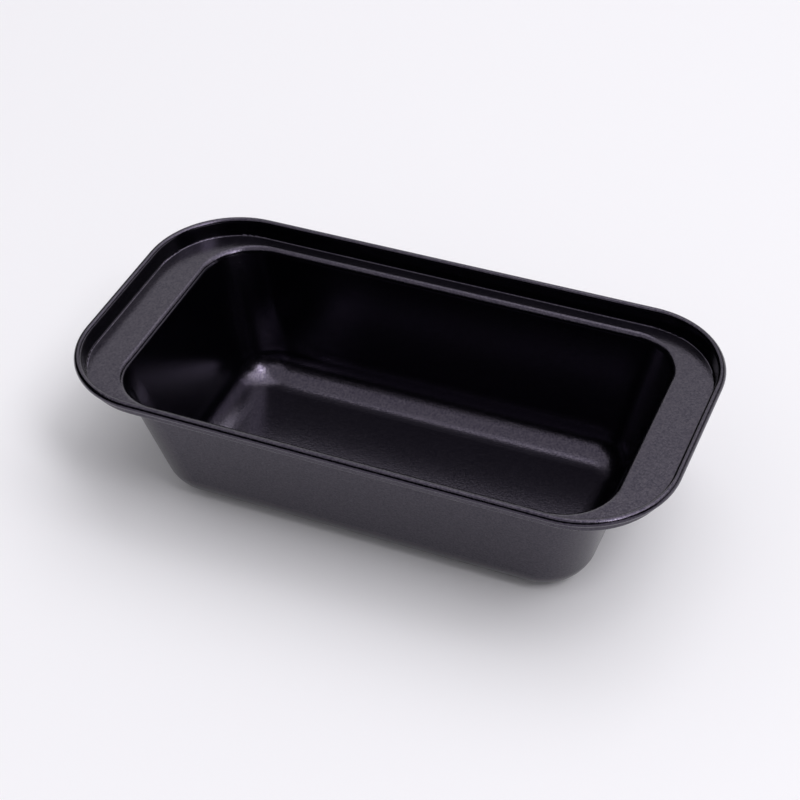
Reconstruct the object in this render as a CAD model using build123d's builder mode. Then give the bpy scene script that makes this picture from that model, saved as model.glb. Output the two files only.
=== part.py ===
"""A loaf pan: one deep-drawn steel sheet with its edge rolled over a steel wire.

Millimetres, +Z up, length along X. The origin is on the table under the middle of the pan.
Every stretch of the sheet has the same thickness, as in the real pressing. The tub and the shelf
round it are the space between two forms, and the collar and its rolled edge are one profile
swept round the pan.
"""
from build123d import *
from math import acos, cos, degrees, radians, sin, tan
import os

# Sheet and wire
SHEET = 0.6               # thickness of the coated steel
WIRE_DIAMETER = 2.0       # wire inside the rolled edge
WIRE_CLEARANCE = 0.08     # between the wire and the sheet rolled over it
WIRE_BUTT_GAP = 1.0       # between the wire's two ends, in the middle of a long side

# Opening of the tub, measured inside where the walls' planes meet the top of the shelf
OPENING_LENGTH = 217.2
OPENING_WIDTH = 113.8
SHOULDER_RADIUS = 3.0     # rounding from the shelf down into the tub, on its upper side

# Tub
SHELF_HEIGHT = 61.2       # top of the shelf above the table
END_DRAFT = 12.9          # lean of the two end walls, degrees from upright
SIDE_DRAFT = 10.1         # lean of the two long walls, degrees from upright
TUB_CORNER = 22.6         # rounding between the walls, on its inner side
FLOOR_RADIUS = 16.8       # rounding from the walls into the floor, on its inner side

# Shelf, collar and rolled edge
END_SHELF = 19.2          # shelf from the opening to the collar at each end
SIDE_SHELF = 7.6          # the same along each long side
COLLAR_HEIGHT = 6.4       # top of the shelf to the middle of the rolled edge
COLLAR_DRAFT = 8.4        # outward lean of the collar, degrees from upright
COLLAR_RADIUS = 0.8       # rounding from the shelf up into the collar, on its inner side
COLLAR_CORNER = 36.0      # corner radius of the collar where it leaves the shelf, seen from above
CURL_END_GAP = 0.3        # between the sheet's cut edge, at the curl's end, and the collar's outer face

# Worked out from the above
curl_inner = WIRE_DIAMETER / 2 + WIRE_CLEARANCE
curl_outer = curl_inner + SHEET
collar_reach = curl_outer / cos(radians(COLLAR_DRAFT)) + COLLAR_HEIGHT * tan(radians(COLLAR_DRAFT))
rim_height = SHELF_HEIGHT + COLLAR_HEIGHT
rim_half_length = OPENING_LENGTH / 2 + END_SHELF + collar_reach
rim_half_width = OPENING_WIDTH / 2 + SIDE_SHELF + collar_reach
rim_corner = COLLAR_CORNER + collar_reach
rim_profile_reach = collar_reach + SIDE_SHELF / 2
curl_sweep = 180 + degrees(acos((CURL_END_GAP - curl_inner) / curl_outer))


def wall(opening, draft, height, sheet):
    """Distance from the middle of the pan to a wall at a height, moved outwards through the sheet."""
    lean = radians(draft)
    return opening / 2 - (SHELF_HEIGHT - height) * tan(lean) + sheet / cos(lean)


def form(floor, shelf, sheet):
    """Solid bounded by one face of the sheet: the tub, and above it the space over the shelf.

    With sheet = 0 it is the inside of the pan, and with sheet = SHEET all that its outer face holds.
    """

    def tub_profile(opening, draft):
        bottom = wall(opening, draft, floor, sheet)
        top = wall(opening, draft, shelf, sheet)
        Polygon((-bottom, floor), (bottom, floor), (top, shelf), (-top, shelf), align=None)

    with BuildPart() as shape:
        with BuildSketch(Plane.XZ):
            tub_profile(OPENING_LENGTH, END_DRAFT)
        extrude(amount=OPENING_WIDTH, both=True)
        with BuildSketch(Plane.YZ):
            tub_profile(OPENING_WIDTH, SIDE_DRAFT)
        extrude(amount=OPENING_LENGTH, both=True, mode=Mode.INTERSECT)
        fillet(shape.edges().filter_by(Plane.XY, reverse=True), TUB_CORNER + sheet)
        fillet(shape.faces().sort_by(Axis.Z)[0].edges(), FLOOR_RADIUS + sheet)
        with BuildSketch(Plane.XY.offset(shelf)):
            RectangleRounded(
                2 * (rim_half_length - rim_profile_reach),
                2 * (rim_half_width - rim_profile_reach),
                rim_corner - rim_profile_reach,
            )
        extrude(amount=rim_height - shelf)
        underside = shape.faces().filter_by(Axis.Z).sort_by(Axis.Z)[1]
        fillet(underside.inner_wires()[0].edges(), SHOULDER_RADIUS - sheet)
    return shape.part


def rim_line(gap=0):
    """Centreline of the rolled edge; a gap opens it in the middle of the back long side."""
    corners = [
        (rim_half_length, rim_half_width),
        (rim_half_length, -rim_half_width),
        (-rim_half_length, -rim_half_width),
        (-rim_half_length, rim_half_width),
    ]
    if gap:
        corners = [(gap / 2, rim_half_width), *corners, (-gap / 2, rim_half_width)]
    return FilletPolyline(*corners, radius=rim_corner, close=not gap)


def across(line):
    """Plane square to the rim line at its start. The line runs clockwise: x points outwards, y up."""
    along = line % 0
    return Plane(origin=line @ 0, x_dir=Vector(0, 0, 1).cross(along), z_dir=along)


def rim_face(depth):
    """One face of the sheet across the rim, a depth below its upper face: shelf, collar and curl.

    Drawn round the middle of the wire. Gives the shelf's stretch and the curl's.
    """
    lean = radians(COLLAR_DRAFT)
    radius = curl_outer - depth
    shelf = -COLLAR_HEIGHT - depth
    corner = radius / cos(lean) - shelf * tan(lean)
    upright = FilletPolyline(
        (-rim_profile_reach, shelf),
        (-corner, shelf),
        (-radius * cos(lean), radius * sin(lean)),
        radius=COLLAR_RADIUS + depth,
    )
    curl = CenterArc((0, 0), radius, 180 - COLLAR_DRAFT, COLLAR_DRAFT - curl_sweep)
    return upright, curl


# The pan: tub and shelf, with the collar and its curl swept round them
outside = form(0, SHELF_HEIGHT - SHEET, SHEET)
inside = form(SHEET, SHELF_HEIGHT, 0)
with BuildPart() as pan_body:
    add(outside)
    add(inside, mode=Mode.SUBTRACT)
    with BuildLine(Plane.XY.offset(rim_height)) as rim:
        rim_line()
    with BuildSketch(across(rim.line)):
        with BuildLine():
            upper_shelf, upper_curl = rim_face(0)
            lower_shelf, lower_curl = rim_face(SHEET)
            Line(upper_shelf @ 0, lower_shelf @ 0)
            Line(upper_curl @ 1, lower_curl @ 1)
        make_face()
    sweep(path=rim.line)
pan_body.part.label = "pan_body"

# The wire inside the curl
with BuildPart() as rim_wire:
    with BuildLine(Plane.XY.offset(rim_height)) as wire_line:
        rim_line(WIRE_BUTT_GAP)
    with BuildSketch(across(wire_line.line)):
        Circle(WIRE_DIAMETER / 2)
    sweep(path=wire_line.line)
rim_wire.part.label = "rim_wire"

os.makedirs("parts", exist_ok=True)
export_step(pan_body.part, "parts/pan_body.step")
export_step(rim_wire.part, "parts/rim_wire.step")
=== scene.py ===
"""Looks of the loaf pan: its non-stick coating, soft studio light and the camera.

Metres, +Z up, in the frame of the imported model. The pan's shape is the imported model's own.
"""

import math

import bpy
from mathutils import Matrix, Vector

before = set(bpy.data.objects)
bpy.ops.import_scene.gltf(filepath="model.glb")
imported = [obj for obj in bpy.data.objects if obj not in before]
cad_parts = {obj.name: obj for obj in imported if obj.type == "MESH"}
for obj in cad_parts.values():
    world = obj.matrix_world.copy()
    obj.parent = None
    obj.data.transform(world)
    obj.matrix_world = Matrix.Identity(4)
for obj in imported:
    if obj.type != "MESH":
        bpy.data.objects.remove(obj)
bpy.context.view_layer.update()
scene = bpy.context.scene

# Camera
CAMERA_AZIMUTH = 24.7         # degrees round from the front towards the right-hand end
CAMERA_ELEVATION = 41.0       # degrees above the table
CAMERA_ROLL = -2.6            # degrees, below zero for a lean to the camera's right
CAMERA_DISTANCE = 0.8455      # from the point aimed at
CAMERA_AIM = Vector((-0.0059, 0.0150, 0.0300))
CAMERA_LENS = 87.2            # millimetres
CAMERA_SENSOR = 36            # millimetres across
CAMERA_CLIP = 0.01            # nearest thing that the camera shows

# Procedural noise runs from 0 to 1 but hardly leaves these bounds.
NOISE_LOW = 0.3
NOISE_HIGH = 0.7

# Non-stick coating
COATING_COLOUR = (0.0003, 0.0003, 0.0008)
COATING_IOR = 1.80
COATING_ROUGHNESS = 0.185
ROUGHNESS_SPREAD = 0.015      # how far the roughness strays to either side
HANDLING_SIZE = 0.045         # from one smoother or rougher patch to the next
GRAIN_SIZE = 0.0008           # from one grain of the coating to the next
GRAIN_HEIGHT = 0.00005
DULL_GRAIN_SHEEN = (0.36, 0.31, 0.49)
BRIGHT_GRAIN_SHEEN = (0.88, 0.78, 1.0)
SPECK_COLOUR = (0.012, 0.011, 0.014)
SPECK_SPACING = 0.009         # between the few coarser specks
SPECK_CORE = 0.02             # radius of a speck's full part, as a share of the spacing
SPECK_EDGE = 0.045            # radius where a speck has faded out, as a share of the spacing
SPECK_HEIGHT = 0.00006

# Wire
WIRE_DULL_COLOUR = (0.42, 0.42, 0.41)
WIRE_BRIGHT_COLOUR = (0.56, 0.56, 0.55)
WIRE_SMOOTHEST = 0.25
WIRE_ROUGHEST = 0.4
WIRE_MARK_SIZE = 0.0004       # from one mark of the drawing die to the next
WIRE_MARK_HEIGHT = 0.00003

# Light. A level is a brightness, where 1 is white, and angles are degrees.
WORLD_LEVEL = 0.43            # light that falls on things from all round
LIGHT_DISTANCE = 5.0          # from the pan to each softbox
FLAG_DISTANCE = 8.0           # from the pan to the black cloth
FLAG_STEP = 6                 # round from one fold of the cloth to the next
FLAG_COLOUR = (0.01, 0.01, 0.01)
# Each panel of cloth: first and last azimuth, lowest and highest elevation.
FLAG_PANELS = [
    (-144, -122, 0, 30),
    (-122, -25, 0, 52),
    (-25, 100, 0, 46),
    (100, 185, 20, 36),
]

# Floor
FLOOR_SIZE = 7
FLOOR_COLOUR = (0.915, 0.900, 0.945)
FLOOR_ROUGHNESS = 0.8
FLOOR_SPECULAR_LEVEL = 0.2


def link(tree, source, target):
    tree.links.new(source, target)


def new_material(name):
    """A new node material, with its tree and its Principled shader."""
    material = bpy.data.materials.new(name)
    material.use_nodes = True
    shader = material.node_tree.nodes["Principled BSDF"]
    return material, material.node_tree, shader


def noise(tree, coordinate, size, detail, roughness=0.5):
    """Noise whose features are about size metres across."""
    node = tree.nodes.new("ShaderNodeTexNoise")
    node.inputs["Scale"].default_value = 1 / size
    node.inputs["Detail"].default_value = detail
    node.inputs["Roughness"].default_value = roughness
    link(tree, coordinate, node.inputs["Vector"])
    return node.outputs["Fac"]


def remap(tree, value, low, high, new_low, new_high):
    """value from low..high to new_low..new_high, held at both ends."""
    node = tree.nodes.new("ShaderNodeMapRange")
    node.inputs["From Min"].default_value = low
    node.inputs["From Max"].default_value = high
    node.inputs["To Min"].default_value = new_low
    node.inputs["To Max"].default_value = new_high
    link(tree, value, node.inputs["Value"])
    return node.outputs["Result"]


def remap_noise(tree, value, new_low, new_high):
    """Noise spread over new_low..new_high."""
    return remap(tree, value, NOISE_LOW, NOISE_HIGH, new_low, new_high)


def bump(tree, height, distance, strength, normal=None):
    """A normal tilted by the relief of height, which is distance metres high where height is 1."""
    node = tree.nodes.new("ShaderNodeBump")
    node.inputs["Distance"].default_value = distance
    node.inputs["Strength"].default_value = strength
    link(tree, height, node.inputs["Height"])
    if normal:
        link(tree, normal, node.inputs["Normal"])
    return node.outputs["Normal"]


def mix_colour(tree, factor, first, second):
    """first where factor is 0, second where it is 1."""
    node = tree.nodes.new("ShaderNodeMix")
    node.data_type = "RGBA"
    node.inputs["A"].default_value = (*first, 1)
    node.inputs["B"].default_value = (*second, 1)
    link(tree, factor, node.inputs["Factor"])
    return node.outputs["Result"]


def coating():
    """Near-black non-stick coating: satin, with a fine sandy grain and a few coarser specks."""
    material, tree, shader = new_material("nonstick_coating")
    place = tree.nodes.new("ShaderNodeTexCoord").outputs["Object"]
    grain = noise(tree, place, GRAIN_SIZE, detail=2.0, roughness=0.55)
    handling = noise(tree, place, HANDLING_SIZE, detail=4.0, roughness=0.6)
    specks = tree.nodes.new("ShaderNodeTexVoronoi")
    specks.inputs["Scale"].default_value = 1 / SPECK_SPACING
    link(tree, place, specks.inputs["Vector"])
    speck = remap(tree, specks.outputs["Distance"], SPECK_CORE, SPECK_EDGE, 1, 0)

    colour = mix_colour(tree, speck, COATING_COLOUR, SPECK_COLOUR)
    link(tree, colour, shader.inputs["Base Color"])

    shine = remap_noise(tree, grain, 0, 1)
    sheen = mix_colour(tree, shine, DULL_GRAIN_SHEEN, BRIGHT_GRAIN_SHEEN)
    link(tree, sheen, shader.inputs["Specular Tint"])

    smoothest = COATING_ROUGHNESS - ROUGHNESS_SPREAD
    roughest = COATING_ROUGHNESS + ROUGHNESS_SPREAD
    link(tree, remap_noise(tree, handling, smoothest, roughest), shader.inputs["Roughness"])

    fine = bump(tree, grain, GRAIN_HEIGHT, strength=1.0)
    relief = bump(tree, speck, SPECK_HEIGHT, strength=0.5, normal=fine)
    link(tree, relief, shader.inputs["Normal"])
    shader.inputs["IOR"].default_value = COATING_IOR
    return material


def wire_steel():
    """Bare steel wire, with the fine marks that drawing leaves on it."""
    material, tree, shader = new_material("drawn_wire")
    place = tree.nodes.new("ShaderNodeTexCoord").outputs["Object"]
    marks = noise(tree, place, WIRE_MARK_SIZE, detail=2.0)

    colour = mix_colour(tree, marks, WIRE_DULL_COLOUR, WIRE_BRIGHT_COLOUR)
    link(tree, colour, shader.inputs["Base Color"])
    link(tree, remap_noise(tree, marks, WIRE_SMOOTHEST, WIRE_ROUGHEST), shader.inputs["Roughness"])
    link(tree, bump(tree, marks, WIRE_MARK_HEIGHT, strength=0.3), shader.inputs["Normal"])
    shader.inputs["Metallic"].default_value = 1
    return material


def paint(node_name, material):
    """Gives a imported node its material."""
    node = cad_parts[node_name]
    node.data.materials.clear()
    node.data.materials.append(material)


def pale_floor():
    """The plain floor that the pan stands on."""
    bpy.ops.mesh.primitive_plane_add(size=FLOOR_SIZE)
    floor = bpy.context.object
    floor.name = "floor"
    material, _, shader = new_material("pale_floor")
    shader.inputs["Base Color"].default_value = (*FLOOR_COLOUR, 1)
    shader.inputs["Roughness"].default_value = FLOOR_ROUGHNESS
    shader.inputs["Specular IOR Level"].default_value = FLOOR_SPECULAR_LEVEL
    floor.data.materials.append(material)


def seen_directly(tree):
    """1 where the camera, a reflection or a see-through surface looks, 0 for light on things."""
    path = tree.nodes.new("ShaderNodeLightPath")
    seen = path.outputs["Is Camera Ray"]
    for name in ("Is Glossy Ray", "Is Transmission Ray"):
        either = tree.nodes.new("ShaderNodeMath")
        either.operation = "MAXIMUM"
        link(tree, seen, either.inputs[0])
        link(tree, path.outputs[name], either.inputs[1])
        seen = either.outputs[0]
    return seen


def white_world():
    """White where it is seen, and a softer level as light on things."""
    world = bpy.data.worlds.new("studio")
    scene.world = world
    world.use_nodes = True
    tree = world.node_tree
    background = tree.nodes["Background"]
    background.inputs["Color"].default_value = (1, 1, 1, 1)
    level = remap(tree, seen_directly(tree), 0, 1, WORLD_LEVEL, 1)
    link(tree, level, background.inputs["Strength"])


def direction(azimuth, elevation):
    """Unit vector away from the pan. Azimuth runs from the front towards the right-hand end."""
    around = math.radians(azimuth)
    up = math.radians(elevation)
    return Vector((
        math.sin(around) * math.cos(up),
        -math.cos(around) * math.cos(up),
        math.sin(up),
    ))


def softbox(name, azimuth, elevation, wide, high, level):
    """A softbox aimed at the pan.

    azimuth and elevation say where it hangs, in degrees, as for the camera. wide and high are the
    angles that it fills, seen from the pan, and level is the brightness of its face.
    """
    away = direction(azimuth, elevation)
    light = bpy.data.lights.new(name, "AREA")
    light.shape = "RECTANGLE"
    light.size = 2 * LIGHT_DISTANCE * math.tan(math.radians(wide) / 2)
    light.size_y = 2 * LIGHT_DISTANCE * math.tan(math.radians(high) / 2)
    light.energy = level * math.pi * light.size * light.size_y
    lamp = bpy.data.objects.new(name, light)
    lamp.location = away * LIGHT_DISTANCE
    lamp.rotation_euler = (-away).to_track_quat("-Z", "Y").to_euler()
    lamp.visible_camera = False
    scene.collection.objects.link(lamp)


def black_flags(panels):
    """Black cloth round the pan that only reflections show, to keep the tub's walls dark."""
    material, _, shader = new_material("black_cloth")
    shader.inputs["Base Color"].default_value = (*FLAG_COLOUR, 1)
    shader.inputs["Roughness"].default_value = 1
    shader.inputs["Specular IOR Level"].default_value = 0
    corners = []
    faces = []
    for start, end, bottom, top in panels:
        low = Vector((0, 0, FLAG_DISTANCE * math.tan(math.radians(bottom))))
        high = Vector((0, 0, FLAG_DISTANCE * math.tan(math.radians(top))))
        steps = round((end - start) / FLAG_STEP)
        for step in range(steps):
            left = direction(start + (end - start) * step / steps, 0) * FLAG_DISTANCE
            right = direction(start + (end - start) * (step + 1) / steps, 0) * FLAG_DISTANCE
            faces.append(range(len(corners), len(corners) + 4))
            corners += [left + low, right + low, right + high, left + high]
    mesh = bpy.data.meshes.new("black_flags")
    mesh.from_pydata(corners, [], faces)
    mesh.materials.append(material)
    flags = bpy.data.objects.new("black_flags", mesh)
    scene.collection.objects.link(flags)
    flags.visible_camera = False
    flags.visible_diffuse = False
    flags.visible_shadow = False


def camera():
    """The camera, at the product photograph's angle."""
    data = bpy.data.cameras.new("camera")
    data.lens = CAMERA_LENS
    data.sensor_width = CAMERA_SENSOR
    data.clip_start = CAMERA_CLIP
    eye = bpy.data.objects.new("camera", data)
    eye.location = CAMERA_AIM + direction(CAMERA_AZIMUTH, CAMERA_ELEVATION) * CAMERA_DISTANCE
    eye.rotation_euler = (math.radians(90 - CAMERA_ELEVATION), 0, math.radians(CAMERA_AZIMUTH))
    eye.rotation_euler.rotate_axis("Z", math.radians(CAMERA_ROLL))
    scene.collection.objects.link(eye)
    scene.camera = eye


scene.view_settings.view_transform = "Standard"
paint("pan_body", coating())
paint("rim_wire", wire_steel())
pale_floor()
white_world()
softbox("key_softbox", azimuth=62, elevation=54, wide=12, high=24, level=9.5)
softbox("side_softbox", azimuth=95, elevation=66, wide=22, high=34, level=2.0)
softbox("top_softbox", azimuth=143, elevation=70, wide=60, high=40, level=1.3)
softbox("low_softbox", azimuth=55, elevation=6, wide=34, high=10, level=1.5)
black_flags(FLAG_PANELS)
camera()
